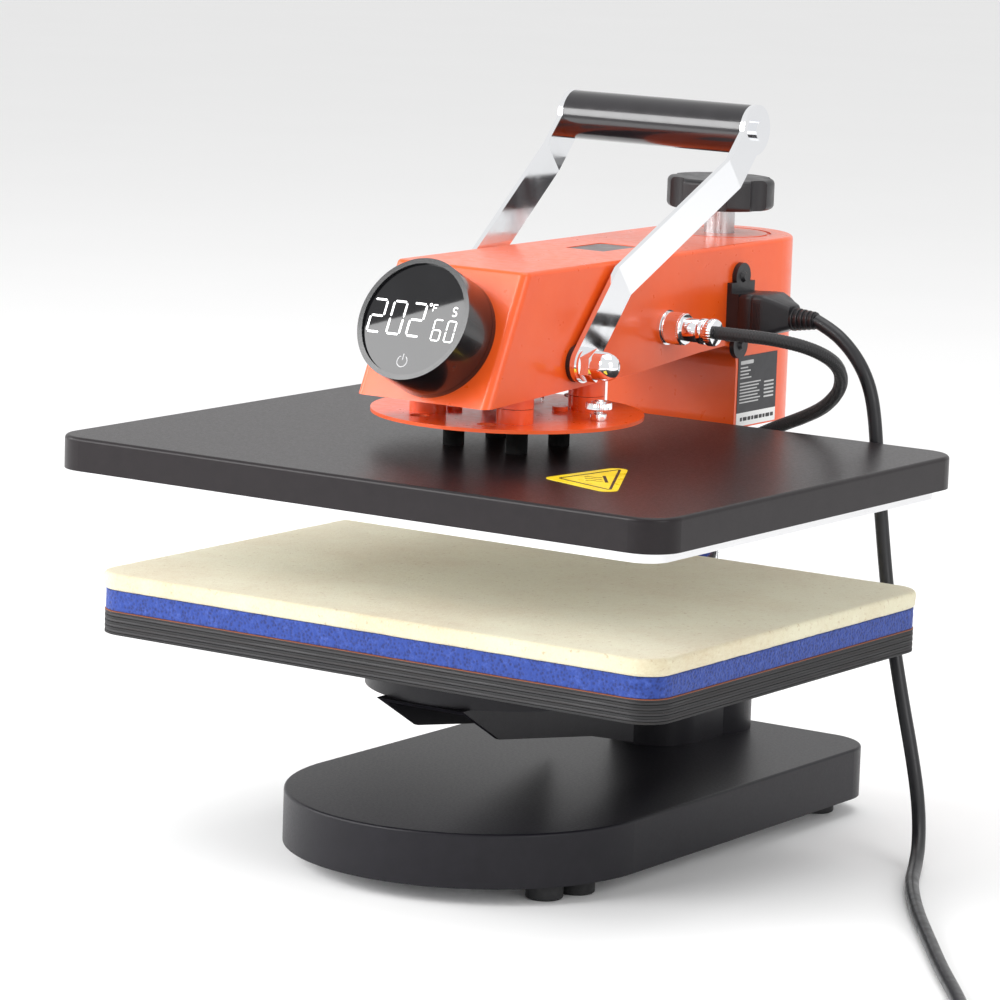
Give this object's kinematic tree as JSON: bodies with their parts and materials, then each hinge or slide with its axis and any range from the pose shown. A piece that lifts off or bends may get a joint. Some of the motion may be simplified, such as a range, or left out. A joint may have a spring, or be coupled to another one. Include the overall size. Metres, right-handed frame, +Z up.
{
  "type": "heat press",
  "caption": "Swing-away flat heat press: D-shaped base, pillar, padded lower board, cam-driven heated platen under a swinging head, U handle, pressure knob and a round display.",
  "frame": {"origin": "on the floor, at the middle of the press's own bounding box, mains cord left out", "axes": "+Z up; +X along the platen's long side, towards the mains inlet; -Y towards the user; +Y towards the pillar"},
  "size_m": [0.708, 0.4968, 0.4218],
  "materials": {
    "black_paint": "satin black paint",
    "orange_paint": "gloss orange powder coat",
    "chrome": "polished chrome",
    "steel": "zinc-plated steel",
    "aluminium": "machined aluminium",
    "bronze": "sintered bronze",
    "rubber": "matt black rubber",
    "cord": "black flexible PVC",
    "braid": "black braided sleeve",
    "blue_sponge": "blue silicone sponge",
    "felt": "cream felt",
    "plywood": "black-faced plywood",
    "grip": "gloss black plastic",
    "black_plastic": "matt black plastic",
    "gloss_black": "gloss black plastic",
    "lens": "smoked display window",
    "circuit": "green circuit board",
    "insulation": "white insulation board",
    "label": "printed label",
    "sticker": "yellow warning sticker",
    "badge": "grey badge"
  },
  "bodies": {
    "root": {"base_casting": "black_paint", "base_bottom_cover": "steel", "stand_screws": "steel", "rubber_feet": "rubber", "pillar_socket": "black_paint", "arm_hub": "black_paint", "pillar": "chrome", "pillar_fittings": "black_paint", "lower_arm": "black_paint", "lower_drum": "black_paint", "lower_board": "plywood", "sponge_pad": "blue_sponge", "felt_pad": "felt"},
    "carrier": {"height_sleeve": "steel"},
    "head": {"head_casting": "orange_paint", "head_bottom_cover": "orange_paint", "leg_bottom_plate": "orange_paint", "swing_bush": "bronze", "bronze_bushes": "bronze", "return_springs": "steel", "control_board": "circuit", "mains_inlet": "black_plastic", "mains_plug": "black_plastic", "mains_cord": "cord", "cord_coil": "cord", "coil_tie": "black_plastic", "wall_plug": "black_plastic", "lead_socket": "chrome", "lead_plug": "chrome", "heater_lead": "braid", "display_housing": "gloss_black", "display_module": "lens", "rating_label": "label", "top_badge": "badge"},
    "pressure_knob": {"pressure_knob": "black_plastic", "pressure_screw": "steel"},
    "handle": {"pivot_shaft": "steel", "lift_cam": "steel", "handle_arm_right": "chrome", "handle_arm_left": "chrome", "grip": "grip", "nylon_washers": "black_plastic", "handle_fasteners": "chrome"},
    "platen": {"mount_disc": "orange_paint", "lower_guide_bosses": "orange_paint", "guide_pins": "chrome", "standoffs": "black_paint", "disc_screws": "steel", "ram_clevis": "steel", "cam_roller": "steel", "thumb_stud": "chrome", "platen_cover": "black_paint", "insulation_board": "insulation", "edge_spacer": "insulation", "heating_element": "steel", "heating_plate": "aluminium", "lead_gland": "black_plastic", "hot_surface_sticker": "sticker"},
    "dial": {"dial_ring": "gloss_black"}
  },
  "joints": [
    {"name": "head_height", "type": "slide", "parent": "root", "child": "carrier", "axis": [0, 0, 1], "range_m": [0, 0.008]},
    {"name": "head_swing", "type": "hinge", "parent": "carrier", "child": "head", "pos_m": [0, 0.166, 0.25], "axis": [0, 0, 1], "range_deg": [0, 180]},
    {"name": "pressure_turn", "type": "hinge", "parent": "head", "child": "pressure_knob", "pos_m": [0, 0.166, 0.36], "axis": [0, 0, 1], "range_deg": [0, 1440]},
    {"name": "handle_pivot", "type": "hinge", "parent": "head", "child": "handle", "pos_m": [0, -0.054, 0.285], "axis": [1, 0, 0], "range_deg": [0, 130]},
    {"name": "platen_drop", "type": "slide", "parent": "head", "child": "platen", "axis": [0, 0, -1], "range_m": [0, 0.0523], "deforming": ["return_springs", "heater_lead"]},
    {"name": "dial_turn", "type": "hinge", "parent": "head", "child": "dial", "pos_m": [0, -0.12288, 0.301], "axis": [0, -0.9036, 0.4285], "continuous": true}
  ],
  "couplings": [
    {"joint": "pressure_turn", "follows": "head_height", "rad_per_m": 3141.6},
    {"joint": "platen_drop", "follows": "handle_pivot", "m_per_rad": 0.023051}
  ]
}
